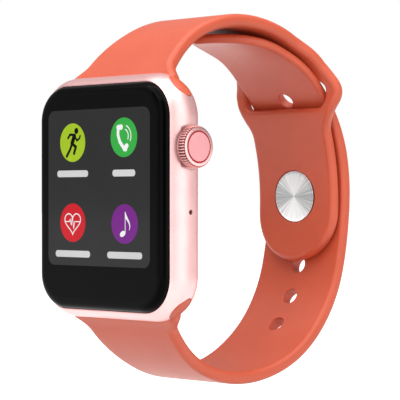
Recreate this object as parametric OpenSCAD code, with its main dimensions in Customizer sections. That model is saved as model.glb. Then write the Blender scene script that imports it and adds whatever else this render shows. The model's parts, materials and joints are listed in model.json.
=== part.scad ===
// Square running watch with a silicone pin-and-tuck strap, closed as it is worn.
// Millimetres. The screen faces -Y, the crown +X and 12 o'clock +Z.
// The origin is the middle of the wrist opening. Case depths count back from the case front.

/* [Case] */
// Width of the case, crown side to speaker side
case_w = 37; // [36.8:0.1:37.2]
// Height of the case, 12 to 6 o'clock
case_h = 44; // [43.9:0.1:44.1]
// Depth of the case, without the glass and the back lens
case_t = 9.1; // [9:0.1:9.3]
// Corner radius of the case seen from the front
case_corner = 8; // [7.8:0.1:8.2]
// Radius of the rounded sides, seen in section
side_r = 4.8; // [4.7:0.1:4.9]
// How far the middle of the wrist opening lies behind the case front
wrist_depth = 30; // [28:0.5:32]

/* [Glass and display] */
// Width of the cover glass
glass_w = 34.1; // [33.8:0.1:34.2]
// Height of the cover glass
glass_h = 40.7; // [40.3:0.1:40.8]
// Corner radius of the cover glass
glass_corner = 6.4; // [6.2:0.1:6.5]
// Radius of the curved glass edge
glass_edge = 2; // [1.8:0.1:2]
// How far the glass stands in front of the case front
glass_proud = 0.7; // [0.5:0.1:0.8]

/* [Crown] */
// Diameter of the knurled crown
crown_d = 7.4; // [7:0.1:7.6]
// Height of the crown's axis above the middle of the case
crown_z = 8.75; // [8.5:0.05:9]
// Depth of the crown's axis behind the case front
crown_y = 4.5; // [4.4:0.05:4.6]
// Ridges round the crown
crown_teeth = 44; // [30:1:60]
// Travel of the crown when it is pressed
crown_press = 0.3; // [0.2:0.05:0.3]

/* [Strap] */
// Strap thickness
strap_t = 2.4; // [2.2:0.05:2.45]
// Thickness of the tail that is tucked in
tail_t = 1.8; // [1.6:0.05:1.85]
// Half width where the strap meets the case
strap_half_case = 11.8; // [11.5:0.1:12]
// Half width of the waist above and below the wrist
strap_half_waist = 9.6; // [9.4:0.1:9.8]
// Half width behind the wrist
strap_half_back = 10.05; // [9.9:0.05:10.2]
// Half width where the slot is
flare_half = 13.75; // [13.5:0.05:14]
// Half length of the bar that slides into the case
lug_half = 17.6; // [17:0.1:18]
// Radius of the adjustment holes
hole_r = 1.75; // [1.6:0.05:1.8]
// Distance from hole to hole
hole_pitch = 6.95; // [6.85:0.05:7.05]
// Diameter of the metal disc on the clasp pin
disc_d = 10.2; // [9.8:0.1:10.4]

/* [Hidden] */
fine = 64;
small = 32;
fit = 0.05;
through = 1;

// Corner centres of the case and the glass, and the middle of the rounded side
corner_x = case_w / 2 - case_corner;
corner_z = case_h / 2 - case_corner;
side_y = case_t / 2 - 0.25;
rim_y = 0.9;
glass_back = 1.3;
glass_t = 0.9;
gasket_t = 0.2;
seat_y = glass_back + gasket_t;

// Cavity and back opening: half sizes and depths
cavity_x = 15.2;
cavity_z = 16.8;
rear_z = 14.4;
rear_y = 4.8;
wall_y = 6.9;
ledge_y = 8.1;
cover_x = 13.2;
cover_z = 14.4;
cover_y = ledge_y + 0.15;
boss_x = 10.2;
boss_z = 11.5;
boss_y = 5.3;
screw_x = 11;
screw_z = 12.3;

// Main board, display and battery
board_y = 5.2;
mic_y = 4.6;
mic_z = -2.6;
board_t = 0.6;
board_back = board_y + board_t;
display_z = 1.75;
active = 27.7;
frame_back = 2.05;
battery_x = [-14.6, 5.6];
battery_half_z = 14;

// Crown: places along X
case_side = case_w / 2;
crown_seat = case_side - 0.35;
knob_x0 = crown_seat + crown_press + 0.1;
knob_x1 = 20.7;
shaft_r = 1.2;
bush_x0 = 14.2;
shaft_x0 = 12.55;
thrust_x0 = 12.25;
thrust_t = 0.28;
clip_x0 = 13.65;
clip_t = 0.25;
ring_r1 = 2.85;
ring_r0 = 2.55;

// Vibration motor on the front of the board
motor = [10.2, -10.3];
motor_r = 4;
motor_y = 2.5;

// Back lens and charging face
lens_r = 9.5;
lens_flat_r = 5.5;
lens_y1 = 10.7;
sensor_t = 0.5;
sensor_y = cover_y - sensor_t;

// Bar grooves: the two ends of the bar's section, depth and height above the middle
lug_a = [4.5, 19.75];
lug_b = [5.35, 19.22];
lug_r = 1.5;
groove_gap = 0.1;
mouth_w = 3;

// Release buttons in the back of the case
release_z = 16;
release_w = 5;
release_h = 1.8;
release_travel = 0.5;
release_y = 7.9;
release_floor = release_y - release_travel - 0.2;

// Strap courses in the YZ plane, depth and height: start, heading in degrees, then [length, turn]
upper_start = [5.2, 20.5];
upper_heading = 58;
upper_run = [[26, -56], [18, -37], [7.5, -26], [3.5, -43], [4, 35], [12, -16], [17, -20]];
lower_start = [5.8, -20.6];
lower_heading = -62;
lower_run = [[20, 47], [28, 61], [14, 30], [14, 13], [12, 20], [9, 21], [5.5, 10], [9.5, 22], [8.5, 16],
             [6.5, 12]];
course_step = 3;
thin_from = 84;
thin_to = 95;
// Distances of the pin along the upper strap, and of its hole along the lower strap
pin_at = 74.2;
pin_level = 75.7;
strap_step = 3;
slot_from = 88;
slot_to = 104;
slot_half = 11.35;
slot_under = 0.35;
slot_over = 0.25;
// Ends of the window in the upper strap, along it
window_from = 50.6;
window_to = 56.6;
holes_before = 4;
holes_after = 3;

// ---- helpers ----

// Case depths: y counts back from the case front
module in_case() {
    translate([0, -wrist_depth, 0]) children();
}

// A plate in the XZ plane from depth y0, t thick
module plate(y0, t) {
    translate([0, y0 + t, 0]) rotate([90, 0, 0]) linear_extrude(t) children();
}

// A bar along X from x0, with its section in the YZ plane
module along_x(x0, length) {
    translate([x0, 0, 0]) rotate([90, 0, 90]) linear_extrude(length) children();
}

// A round bar along X and along Y
module rod_x(x0, length, r, y, z, faces = fine) {
    translate([x0, y, z]) rotate([0, 90, 0]) cylinder(r = r, h = length, $fn = faces);
}
module rod_y(y0, length, r, x = 0, z = 0, faces = fine) {
    translate([x, y0, z]) rotate([-90, 0, 0]) cylinder(r = r, h = length, $fn = faces);
}

// A rectangle of half sizes hx and hz with round corners
module round_rect(hx, hz, r) {
    square([2 * hx, 2 * (hz - r)], center = true);
    square([2 * (hx - r), 2 * hz], center = true);
    for (sx = [-1, 1], sz = [-1, 1])
        translate([sx * (hx - r), sz * (hz - r)]) circle(r, $fn = fine);
}

// A box between two corners
module block(low, high) {
    translate(low) cube(high - low);
}

// Turns a profile (distance from the corner centre, depth) into a pillow with corner centres cx, cz
module pillow(cx, cz) {
    for (sx = [-1, 1], sz = [-1, 1])
        translate([sx * cx, 0, sz * cz]) rotate([-90, 0, 0]) rotate_extrude($fn = fine) children();
    for (side = [0, 1]) {
        mirror([side, 0, 0]) translate([cx, 0, 0]) linear_extrude(2 * cz, center = true) children();
        mirror([0, 0, side]) translate([0, 0, cz]) rotate([0, -90, 0])
            linear_extrude(2 * cx, center = true) children();
    }
}

// ---- strap course ----

// Point at the share f of a stretch that starts at p with heading h
function stretch(p, h, run, f) =
    run[1] == 0 ? p + run[0] * f * [cos(h), sin(h)] :
    let (r = run[0] / run[1] * 180 / PI, h1 = h + run[1] * f)
    p + r * [sin(h1) - sin(h), cos(h) - cos(h1)];

// Stations [point, heading, distance] along a course
function course(runs, p, h, s = 0, i = 0) =
    i >= len(runs) ? [[p, h, s]] :
    let (run = runs[i], n = max(1, ceil(abs(run[1]) / course_step)))
    concat([for (k = [0 : n - 1]) [stretch(p, h, run, k / n), h + run[1] * k / n, s + run[0] * k / n]],
           course(runs, stretch(p, h, run, 1), h + run[1], s + run[0], i + 1));

// One station at distance s along a course
function station(runs, p, h, s, i = 0) =
    let (run = runs[i], f = s / run[0])
    f <= 1 || i == len(runs) - 1 ? [stretch(p, h, run, f), h + run[1] * f] :
    station(runs, stretch(p, h, run, 1), h + run[1], s - run[0], i + 1);

// The station moved sideways by d, to the left of its heading
function beside(q, d) = q[0] + d * [-sin(q[1]), cos(q[1])];

function upper_course() = course(upper_run, upper_start, upper_heading);
function lower_course() = course(lower_run, lower_start, lower_heading);
function ease(a, b, s) = let (k = min(1, max(0, (s - a) / (b - a)))) k * k * (3 - 2 * k);
function lower_t(s) = strap_t + (tail_t - strap_t) * ease(thin_from, thin_to, s);
function reversed(list) = [for (i = [len(list) - 1 : -1 : 0]) list[i]];

module upper_band() {
    c = upper_course();
    polygon(concat([for (q = c) beside(q, strap_t / 2)], reversed([for (q = c) beside(q, -strap_t / 2)])));
}

module lower_band() {
    c = lower_course();
    polygon(concat([for (q = c) beside(q, lower_t(q[2]) / 2)],
                   reversed([for (q = c) beside(q, -lower_t(q[2]) / 2)])));
}

// The window in the upper strap and the way that the tail takes through it, with room round it
module slot_way() {
    c = [for (q = lower_course()) if (q[2] >= slot_from && q[2] <= slot_to) q];
    polygon(concat([for (q = c) beside(q, lower_t(q[2]) / 2 + slot_under)],
                   reversed([for (q = c) beside(q, -lower_t(q[2]) / 2 - slot_over)])));
    w = [for (s = [window_from : 1 : window_to]) station(upper_run, upper_start, upper_heading, s)];
    polygon(concat([for (q = w) beside(q, strap_t)], reversed([for (q = w) beside(q, -strap_t)])));
}

// Clasp pin: its station on the upper strap
function pin_station() = station(upper_run, upper_start, upper_heading, pin_at);

// Places things with +Z along the pin, pointing away from the wrist, from the strap's middle
module at_pin() {
    q = pin_station();
    translate([0, q[0][0], q[0][1]]) rotate([q[1], 0, 0]) children();
}

module at_lower(s) {
    q = station(lower_run, lower_start, lower_heading, s);
    translate([0, q[0][0], q[0][1]]) rotate([q[1], 0, 0]) children();
}

// ---- case ----

module side_profile() {
    intersection() {
        union() {
            translate([case_corner - side_r, side_y]) circle(side_r, $fn = fine);
            square([case_corner - side_r, case_t]);
        }
        translate([0, rim_y]) square([case_corner, case_t - rim_y]);
    }
}

module case_blank() {
    pillow(corner_x, corner_z) side_profile();
    block([-corner_x, rim_y, -corner_z], [corner_x, case_t, corner_z]);
}

module lug_section(r) {
    reach = norm(lug_b - lug_a);
    tilt = atan2(lug_b[1] - lug_a[1], lug_b[0] - lug_a[0]);
    translate(lug_a) circle(r, $fn = small);
    translate(lug_b) circle(r, $fn = small);
    translate(lug_a) rotate(tilt) translate([0, -r]) square([reach, 2 * r]);
}

// The open side of a groove, towards the wrist side of the case corner
module lug_mouth(w) {
    tilt = atan2(lug_b[1] - lug_a[1], lug_b[0] - lug_a[0]);
    translate((lug_a + lug_b) / 2) rotate(tilt) translate([-w / 2, 0]) square([w, 5]);
}

module lug_groove() {
    along_x(-case_side, 2 * case_side) {
        lug_section(lug_r + groove_gap);
        lug_mouth(mouth_w);
    }
}

module release_pocket() {
    translate([0, 0, release_z]) {
        plate(release_floor, 2.5) round_rect(release_w / 2 + fit, release_h / 2 + fit, release_h / 2);
        rod_y(6.4, 2, 0.55);
    }
}

module cavity() {
    plate(rim_y - through, glass_back - rim_y + through + gasket_t)
        round_rect(glass_w / 2 + fit, glass_h / 2 + fit, glass_corner);
    plate(seat_y - 0.1, rear_y - seat_y + 0.1) round_rect(cavity_x, cavity_z, 4);
    difference() {
        plate(rear_y - 0.1, wall_y - rear_y + 0.1) round_rect(cavity_x, rear_z, 2);
        for (sx = [-1, 1], sz = [-1, 1])
            translate([sx * (boss_x + 10), 0, sz * (boss_z + 10)])
                plate(boss_y, 4) square(20, center = true);
    }
    plate(wall_y - 0.1, ledge_y - wall_y + 0.2) {
        square([24, 18], center = true);
        square([16, 26.4], center = true);
    }
    plate(ledge_y, 2) round_rect(cover_x + fit, cover_z + fit, 3);
}

module case_frame() {
    color("lightpink") in_case() difference() {
        case_blank();
        cavity();
        for (side = [0, 1]) mirror([0, 0, side]) {
            lug_groove();
            release_pocket();
        }
        for (sx = [-1, 1], sz = [-1, 1]) rod_y(5, 4, 0.5, sx * screw_x, sz * screw_z, small);
        rod_x(crown_seat, 3, crown_d / 2 + 0.3, crown_y, crown_z);
        rod_x(cavity_x - 2, 6, 2.1, crown_y, crown_z);
        rod_x(cavity_x - 1, 5, 0.45, mic_y, mic_z, small);
        for (i = [-3 : 3]) block([-case_w, 5.6, i * 2.1 - 0.65], [-cavity_x + 1, 6.3, i * 2.1 + 0.65]);
    }
}

// ---- glass and display ----

module glass_profile(edge) {
    half = glass_corner;
    intersection() {
        union() {
            translate([half - edge, edge - glass_proud]) circle(edge, $fn = fine);
            translate([0, -glass_proud]) square([half - edge, 4]);
            translate([0, edge - glass_proud]) square([half, 2]);
        }
        translate([0, -glass_proud]) square([half, glass_back + glass_proud]);
    }
}

module cover_glass() {
    cx = glass_w / 2 - glass_corner;
    cz = glass_h / 2 - glass_corner;
    color("black") in_case() difference() {
        union() {
            pillow(cx, cz) glass_profile(glass_edge);
            block([-cx, -glass_proud, -cz], [cx, glass_back, cz]);
        }
        plate(glass_t - glass_proud, 2) round_rect(14.6, 18.2, 2);
    }
}

module glass_gasket() {
    color("dimgray") in_case() plate(glass_back, gasket_t) difference() {
        round_rect(glass_w / 2 - 0.1, glass_h / 2 - 0.1, glass_corner - 0.1);
        round_rect(glass_w / 2 - 1.3, glass_h / 2 - 1.3, glass_corner - 1.3);
    }
}

module display_panel() {
    color("darkslategray") in_case() {
        plate(glass_t - glass_proud, 1.25 - glass_t + glass_proud) translate([0, display_z - 0.75])
            square([active + 1.1, active + 3], center = true);
        plate(1.25, 0.15) translate([0, -15.5]) square([12, 2.2], center = true);
    }
}

module inner_frame() {
    color("silver") in_case() plate(1.65, 0.4) difference() {
        round_rect(cavity_x, cavity_z, 4);
        translate([0, -15.4]) square([14, 4], center = true);
        translate([12.6, crown_z]) square([6, 8], center = true);
    }
}

// ---- electronics ----

module battery() {
    mid = (battery_x[0] + battery_x[1]) / 2;
    color("gray") in_case() plate(frame_back, 4.95 - frame_back) translate([mid, 0])
        round_rect((battery_x[1] - battery_x[0]) / 2, battery_half_z, 1);
}

module main_board() {
    color("darkgreen") in_case() plate(board_y, board_t) {
        translate([-7.6, -10.4]) square([22, 16.4]);
        translate([-7.6, -10.4]) square([19.7, 20.8]);
        translate([-7.6, -14]) square([16.8, 28]);
    }
}

module processor_shield() {
    color("lightgray") in_case() plate(board_back, 1) translate([0, 3]) round_rect(6, 6.5, 0.6);
}

module memory_chip() {
    color("black") in_case() plate(board_back, 0.8) translate([1, -7.8]) square([6, 3.6], center = true);
}

module gps_antenna() {
    color("goldenrod") in_case() block([-10, frame_back, 14.7], [6, 4.6, 16.4]);
}

// A ribbon as a folded strip: points in the YZ plane, thickness and width along X
module display_flex() {
    color("orange") in_case() along_x(-4, 8) {
        translate([1.4, -16.2]) square([0.15, 1.4]);
        translate([1.4, -16.35]) square([3.35, 0.15]);
        translate([4.6, -16.35]) square([0.15, 2.35]);
        translate([4.6, -14.15]) square([board_back - 4.6, 0.15]);
    }
}

module battery_flex() {
    color("orange") in_case() along_x(-3, 4) {
        translate([3.4, battery_half_z]) square([board_back - 3.4, 0.15]);
    }
}

module crown_flex() {
    color("orange") in_case() translate([0, 0, 7.7]) linear_extrude(2.1) {
        translate([8.6, 2.9]) square([0.15, 2.3]);
        translate([8.6, 2.75]) square([3.8, 0.15]);
        translate([12.25, 2]) square([0.15, 0.9]);
    }
}

module sensor_flex() {
    color("orange") in_case() along_x(-2.5, 5) {
        translate([board_back, 10.6]) square([1.2, 0.15]);
        translate([6.85, 6.5]) square([0.15, 4.25]);
        translate([6.85, 6.5]) square([sensor_y - 6.85, 0.15]);
    }
}

module speaker() {
    color("black") in_case() block([-14.9, 5.15, -7], [-8, 6.85, 7]);
}

module speaker_mesh() {
    color("dimgray") in_case() block([-15.15, 5.2, -7.4], [-14.95, 6.8, 7.4]);
}

module microphone() {
    color("gold") in_case() block([11.6, 4.1, -4.4], [15, board_y, -0.8]);
}

module microphone_mesh() {
    color("dimgray") in_case() rod_x(15.02, 0.16, 1, mic_y, mic_z, small);
}

module motor_can() {
    color("silver") in_case() translate([motor[0], motor_y, motor[1]]) rotate([-90, 0, 0])
        rotate_extrude($fn = fine) difference() {
            square([motor_r, board_y - motor_y]);
            translate([0, 0.25]) square([motor_r - 0.3, board_y - motor_y - 0.5]);
        }
}

module motor_pin() {
    color("gray") in_case() rod_y(motor_y + 0.25, board_y - motor_y - 0.5, 0.4, motor[0], motor[1], small);
}

module motor_rotor() {
    color("darkgoldenrod") in_case() translate([motor[0], 0, motor[1]]) difference() {
        union() {
            plate(3.15, 1.3) intersection() {
                circle(3.4, $fn = fine);
                translate([-4, -4]) square([8, 4]);
            }
            rod_y(3.15, 1.3, 1, 0, 0, small);
        }
        rod_y(3, 2, 0.44, 0, 0, small);
    }
}

// ---- crown ----

module crown_bush() {
    color("silver") in_case() translate([bush_x0, crown_y, crown_z]) rotate([0, 90, 0])
        rotate_extrude($fn = fine) {
            translate([shaft_r + 0.04, 0]) square([2.1 - shaft_r - 0.04, crown_seat - bush_x0]);
            translate([2, 0.3]) square([0.35, 0.65]);
        }
}

module crown_shaft() {
    color("gray") in_case() translate([shaft_x0, crown_y, crown_z]) rotate([0, 90, 0])
        rotate_extrude($fn = fine) difference() {
            square([shaft_r, knob_x1 - 0.9 - shaft_x0]);
            for (x = [clip_x0]) translate([0.9, x - shaft_x0]) square([1, clip_t]);
            for (x = [15.4, 16.9]) translate([0.8, x - shaft_x0]) square([1, 0.5]);
        }
}

module crown_clip() {
    color("silver") in_case() difference() {
        rod_x(clip_x0, clip_t, 1.9, crown_y, crown_z);
        rod_x(clip_x0 - through, 3, 0.9, crown_y, crown_z);
        block([clip_x0 - through, crown_y - 0.7, crown_z], [clip_x0 + through, crown_y + 0.7, crown_z + 3]);
    }
}

module crown_o_rings() {
    color("black") in_case() for (x = [15.65, 17.15])
        translate([x, crown_y, crown_z]) rotate([0, 90, 0])
            rotate_extrude($fn = fine) translate([1.01, 0]) circle(0.21, $fn = 16);
}

module crown_knob() {
    r = crown_d / 2;
    grip_x0 = knob_x0 + 0.45;
    grip_x1 = knob_x1 - 0.5;
    color("lightpink") in_case() translate([0, crown_y, crown_z]) rotate([0, 90, 0]) difference() {
        union() {
            translate([0, 0, knob_x0]) rotate_extrude($fn = fine)
                polygon([[0, 0], [r - 0.7, 0], [r - 0.15, 0.45], [r - 0.2, knob_x1 - knob_x0 - 0.45],
                         [r - 0.45, knob_x1 - knob_x0 - 0.1], [r - 0.6, knob_x1 - knob_x0],
                         [0, knob_x1 - knob_x0]]);
            translate([0, 0, grip_x0]) linear_extrude(grip_x1 - grip_x0)
                polygon([for (i = [0 : 2 * crown_teeth - 1]) let (a = i * 180 / crown_teeth)
                         (i % 2 == 0 ? r : r - 0.25) * [cos(a), sin(a)]]);
        }
        translate([0, 0, knob_x0 - through])
            cylinder(r = shaft_r, h = knob_x1 - 0.9 - knob_x0 + through, $fn = fine);
        translate([0, 0, knob_x1 - 0.3]) cylinder(r = ring_r1, h = 1, $fn = fine);
    }
}

module crown_ring() {
    color("crimson") in_case() difference() {
        rod_x(knob_x1 - 0.3, 0.26, ring_r1, crown_y, crown_z);
        rod_x(knob_x1 - 1, 2, ring_r0, crown_y, crown_z);
    }
}

module crown_cap() {
    color("pink") in_case() rod_x(knob_x1 - 0.3, 0.3, ring_r0, crown_y, crown_z);
}

module crown_thrust_plate() {
    color("silver") in_case() block([thrust_x0, 3.3, 7.2], [thrust_x0 + thrust_t, 5.05, 10.3]);
}

module crown_switch() {
    color("black") in_case() {
        block([9.4, 3.1, 7.2], [11.2, board_y, 10.3]);
        rod_x(11.2, 0.72, 0.6, 4.2, crown_z, small);
    }
}

module crown_encoder() {
    color("black") in_case() block([12.4, 1.95, 7.7], [13.2, 3.15, 9.8]);
}

// ---- back ----

module back_cover() {
    color("black") in_case() difference() {
        plate(cover_y, case_t - cover_y) round_rect(cover_x, cover_z, 2.95);
        rod_y(ledge_y, 2, lens_r + 0.8);
        for (sx = [-1, 1], sz = [-1, 1]) rod_y(ledge_y, 2, 0.62, sx * screw_x, sz * screw_z, small);
        for (sx = [-1, 1], sz = [-1, 1]) rod_y(8.7, 2, 1, sx * screw_x, sz * screw_z, small);
        for (sx = [-1, 1]) rod_y(ledge_y, 2, 0.9, sx * 1.6, -11.9, small);
    }
}

module back_gasket() {
    color("dimgray") in_case() plate(ledge_y, cover_y - ledge_y) difference() {
        round_rect(cover_x - 0.1, cover_z - 0.1, 2.9);
        square([24.2, 18.2], center = true);
        square([16.2, 26.6], center = true);
        for (sx = [-1, 1], sz = [-1, 1]) translate([sx * screw_x, sz * screw_z]) circle(0.62, $fn = small);
    }
}

module case_screws() {
    color("silver") in_case() for (sx = [-1, 1], sz = [-1, 1]) difference() {
        union() {
            rod_y(6, 3, 0.5, sx * screw_x, sz * screw_z, small);
            rod_y(8.7, 0.35, 0.95, sx * screw_x, sz * screw_z, small);
        }
        translate([sx * screw_x, 8.85, sz * screw_z]) for (turn = [0, 90])
            rotate([0, turn, 0]) translate([-0.6, 0, -0.12]) cube([1.2, 1, 0.24]);
    }
}

module sensor_lens() {
    color("black") in_case() translate([0, cover_y, 0]) rotate([-90, 0, 0])
        rotate_extrude($fn = fine) difference() {
            union() {
                square([lens_r, case_t - cover_y]);
                intersection() {
                    translate([lens_flat_r, lens_y1 - cover_y - 7]) circle(7, $fn = fine);
                    square([lens_r, 4]);
                }
                square([lens_flat_r, lens_y1 - cover_y]);
            }
            translate([0, -through]) square([8, through + 1.15]);
        }
}

module lens_ring() {
    color("silver") in_case() difference() {
        rod_y(cover_y, case_t - cover_y + 0.1, lens_r + 0.8);
        rod_y(ledge_y, 3, lens_r);
    }
}

module sensor_board() {
    color("darkgreen") in_case() rod_y(sensor_y, sensor_t, 8.6);
}

module sensor_leds() {
    color("palegreen") in_case() for (sx = [-1, 1], sz = [-1, 1])
        block([sx * 1.3 - 0.6, cover_y, sz * 1.3 - 0.6], [sx * 1.3 + 0.6, cover_y + 0.7, sz * 1.3 + 0.6]);
}

module photodiodes() {
    color("slategray") in_case() for (turn = [0, 90, 180, 270]) rotate([0, turn, 0])
        block([4.2, cover_y, -1.2], [6, cover_y + 0.5, 1.2]);
}

module charge_contacts() {
    color("gold") in_case() for (sx = [-1, 1])
        rod_y(cover_y, case_t - cover_y + 0.05, 0.85, sx * 1.6, -11.9, small);
}

module charge_magnets() {
    color("silver") in_case() for (sx = [-1, 1]) rod_y(7, cover_y - 7, 1.7, sx * 5.8, -10.9, small);
}

module release_button() {
    color("lightpink") in_case() translate([0, 0, release_z]) {
        plate(release_y, case_t - release_y) round_rect(release_w / 2, release_h / 2, release_h / 2 - fit);
        rod_y(7, 1, 0.5, 0, 0, small);
    }
}

module release_button_upper() {
    release_button();
}

module release_button_lower() {
    mirror([0, 0, 1]) release_button();
}

module release_spring() {
    color("silver") in_case() translate([0, release_floor + 0.02, release_z])
    rotate([-90, 0, 0]) difference() {
        cylinder(r = 0.82, h = release_y - release_floor - 0.04, $fn = small);
        translate([0, 0, -through]) cylinder(r = 0.6, h = 3, $fn = small);
    }
}

module release_spring_upper() {
    release_spring();
}

module release_spring_lower() {
    mirror([0, 0, 1]) release_spring();
}

// ---- straps ----

// Depth and height of a point in the mouth's own frame: across it, then out of it
function mouth_point(p) =
    let (tilt = atan2(lug_b[1] - lug_a[1], lug_b[0] - lug_a[0]))
    (lug_a + lug_b) / 2 + [p[0] * cos(tilt) - p[1] * sin(tilt), p[0] * sin(tilt) + p[1] * cos(tilt)];

// The bar that slides in the case, its tongue flush with the case, and the neck up to the band
module lug_bar(runs, start, heading, side) {
    half = mouth_w / 2 - groove_gap;
    neck = half - 0.1;
    high = station(runs, start, heading, 2.4);
    intersection() {
        along_x(-lug_half, 2 * lug_half) {
            lug_section(lug_r);
            lug_mouth(2 * half);
        }
        pillow(corner_x, corner_z) side_profile();
    }
    along_x(-strap_half_case, 2 * strap_half_case)
        polygon([mouth_point([-neck, 0]), mouth_point([neck, 0]), mouth_point([neck, 2.5]),
                 up(beside(high, -side * strap_t / 2), side), up(beside(high, side * strap_t / 2), side),
                 mouth_point([-neck, 2.1])]);
}

// Turns a point on the lower strap to the upper side
function up(p, side) = [p[0], side * p[1]];

// Room that the bands leave round the side of the case
module case_side_room() {
    translate([side_y, corner_z + case_corner - side_r]) circle(side_r + groove_gap, $fn = fine);
    translate([0, -5]) square([case_t + 1, corner_z + case_corner - side_r + 5]);
}

// Half width of either strap by depth: wide at the case, then a waist
function taper(y) = strap_half_case - (strap_half_case - strap_half_waist) * ease(3, 17, y);

module upper_top_outline() {
    pts = [for (y = [0 : 2 : 40]) [taper(y) + 0.45 * ease(29, 40, y), y]];
    flare = [for (y = [41 : 1 : 47]) [strap_half_waist + 0.45 + 1.7 * ease(40, 47, y), y]];
    side = concat(pts, flare);
    polygon(concat(side, reversed([for (p = side) [-p[0], p[1]]])));
}

// Half width of the part behind the wrist by height: flare, waist and round end
function back_half(z) =
    z > 20.5 ? flare_half - 1.9 * ease(20.5, 26, z) :
    strap_half_back + (flare_half - strap_half_back) * ease(12.2, 20.5, z);

module upper_back_outline() {
    tip_z = -12.6;
    round_z = -3;
    side = [for (z = [26.5 : -1 : round_z]) [back_half(z), z]];
    tip = [for (a = [5 : 5 : 90]) [strap_half_back * cos(a), round_z + (tip_z - round_z) * sin(a)]];
    right = concat(side, tip);
    polygon(concat(right, reversed([for (p = right) [-p[0], p[1]]])));
}

module upper_strap() {
    color("coral") in_case() difference() {
        union() {
            intersection() {
                along_x(-20, 40) difference() {
                    upper_band();
                    case_side_room();
                }
                union() {
                    translate([0, 0, 18]) linear_extrude(30) upper_top_outline();
                    translate([0, 60, 0]) rotate([90, 0, 0]) linear_extrude(13.3) upper_back_outline();
                }
            }
            lug_bar(upper_run, upper_start, upper_heading, 1);
        }
        along_x(-slot_half, 2 * slot_half) slot_way();
        at_pin() {
            cylinder(r = 1.2, h = 10, center = true, $fn = fine);
            translate([0, 0, -strap_t / 2 - 1]) cylinder(r = disc_d / 2 + 0.02, h = 1.6, $fn = fine);
        }
        catch_pocket();
    }
}

// Depth at which the tail's end begins to narrow, and the length of that end
tail_round_y = 38;
tail_round = 14.9;

// Half width of the tail by depth
function tail_half(y) =
    let (back = (tail_round_y - min(tail_round_y, y)) / tail_round)
    (8.8 + 1.4 * ease(37, 47, y)) * pow(max(0, 1 - back * back), 0.85);

module lower_bottom_outline() {
    side = [for (y = [0 : 2 : 48]) [taper(y) + 0.75 * ease(29, 44, y), y]];
    right = concat(side, [[10.35, 60]]);
    polygon(concat(right, reversed([for (p = right) [-p[0], p[1]]])));
}

module tail_outline() {
    round_end = [for (a = [0 : 6 : 84]) tail_round_y - tail_round * cos(a)];
    depths = concat(round_end, [for (y = [tail_round_y : 3 : 50]) y]);
    side = concat([for (y = depths) [max(0.4, tail_half(y)), y]]);
    polygon(concat(side, reversed([for (p = side) [-p[0], p[1]]])));
}

module lower_back_outline() {
    side = [[10.35, -30], [10.35, 8], [10.25, 14], [10.2, 19.3]];
    polygon(concat(side, reversed([for (p = side) [-p[0], p[1]]])));
}

module lower_strap() {
    color("coral") in_case() difference() {
        union() {
            intersection() {
                along_x(-20, 40) difference() {
                    lower_band();
                    mirror([0, 1]) case_side_room();
                }
                union() {
                    translate([0, 0, -45]) linear_extrude(35) lower_bottom_outline();
                    translate([0, 60, 0]) rotate([90, 0, 0]) linear_extrude(15) lower_back_outline();
                    translate([0, 0, 19.3]) linear_extrude(20) tail_outline();
                }
            }
            mirror([0, 0, 1]) lug_bar(lower_run, lower_start, lower_heading, -1);
        }
        at_pin() cylinder(r = hole_r, h = 20, $fn = fine);
        for (i = [-holes_before : holes_after]) if (i != 0)
            at_lower(pin_level + i * hole_pitch) cylinder(r = hole_r, h = 10, center = true, $fn = fine);
        mirror([0, 0, 1]) catch_pocket();
    }
}

// Spring catch in the underside of each bar, flush with it
module catch_shape(grow) {
    tilt = atan2(lug_b[1] - lug_a[1], lug_b[0] - lug_a[0]);
    translate([0, (lug_a[0] + lug_b[0]) / 2, (lug_a[1] + lug_b[1]) / 2]) rotate([tilt, 0, 0])
        block([-2.5 - grow, -0.5 - grow, -lug_r - grow], [2.5 + grow, 0.5 + grow, 1 - lug_r + grow]);
}

module catch_pocket() {
    catch_shape(0.02);
}

module catch() {
    color("silver") in_case() catch_shape(0);
}

module upper_catch() {
    catch();
}

module lower_catch() {
    mirror([0, 0, 1]) catch();
}

// The pin: a stem in the upper strap, a neck through the lower strap's hole and a round head
module clasp_pin() {
    foot = -strap_t / 2 + 0.6;
    shoulder = strap_t / 2 + 0.05;
    head = strap_step + strap_t / 2 + 0.3;
    color("silver") in_case() at_pin() rotate_extrude($fn = fine)
        polygon([[0, foot], [1.19, foot], [1.19, shoulder], [1.55, shoulder], [1.55, head],
                 [2.1, head + 0.15], [2.2, head + 0.5], [1.8, head + 0.9], [0, head + 1]]);
}

module clasp_disc() {
    color("gainsboro") in_case() at_pin() translate([0, 0, -strap_t / 2 - 0.15])
        rotate_extrude($fn = fine)
            polygon([[0, 0], [disc_d / 2 - 0.4, 0], [disc_d / 2, 0.15], [disc_d / 2, 0.75], [0, 0.75]]);
}

case_frame();
cover_glass();
glass_gasket();
display_panel();
inner_frame();
battery();
main_board();
processor_shield();
memory_chip();
gps_antenna();
display_flex();
battery_flex();
crown_flex();
sensor_flex();
speaker();
speaker_mesh();
microphone();
microphone_mesh();
motor_can();
motor_pin();
motor_rotor();
crown_bush();
crown_encoder();
crown_switch();
crown_thrust_plate();
crown_shaft();
crown_clip();
crown_o_rings();
crown_knob();
crown_ring();
crown_cap();
back_cover();
back_gasket();
case_screws();
sensor_lens();
lens_ring();
sensor_board();
sensor_leds();
photodiodes();
charge_contacts();
charge_magnets();
release_button_upper();
release_button_lower();
release_spring_upper();
release_spring_lower();
upper_strap();
upper_catch();
clasp_pin();
clasp_disc();
lower_strap();
lower_catch();
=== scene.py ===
"""Looks of the square running watch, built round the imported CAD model."""

import json
import math

import bpy
import numpy as np
from mathutils import Matrix, Vector, geometry


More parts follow.
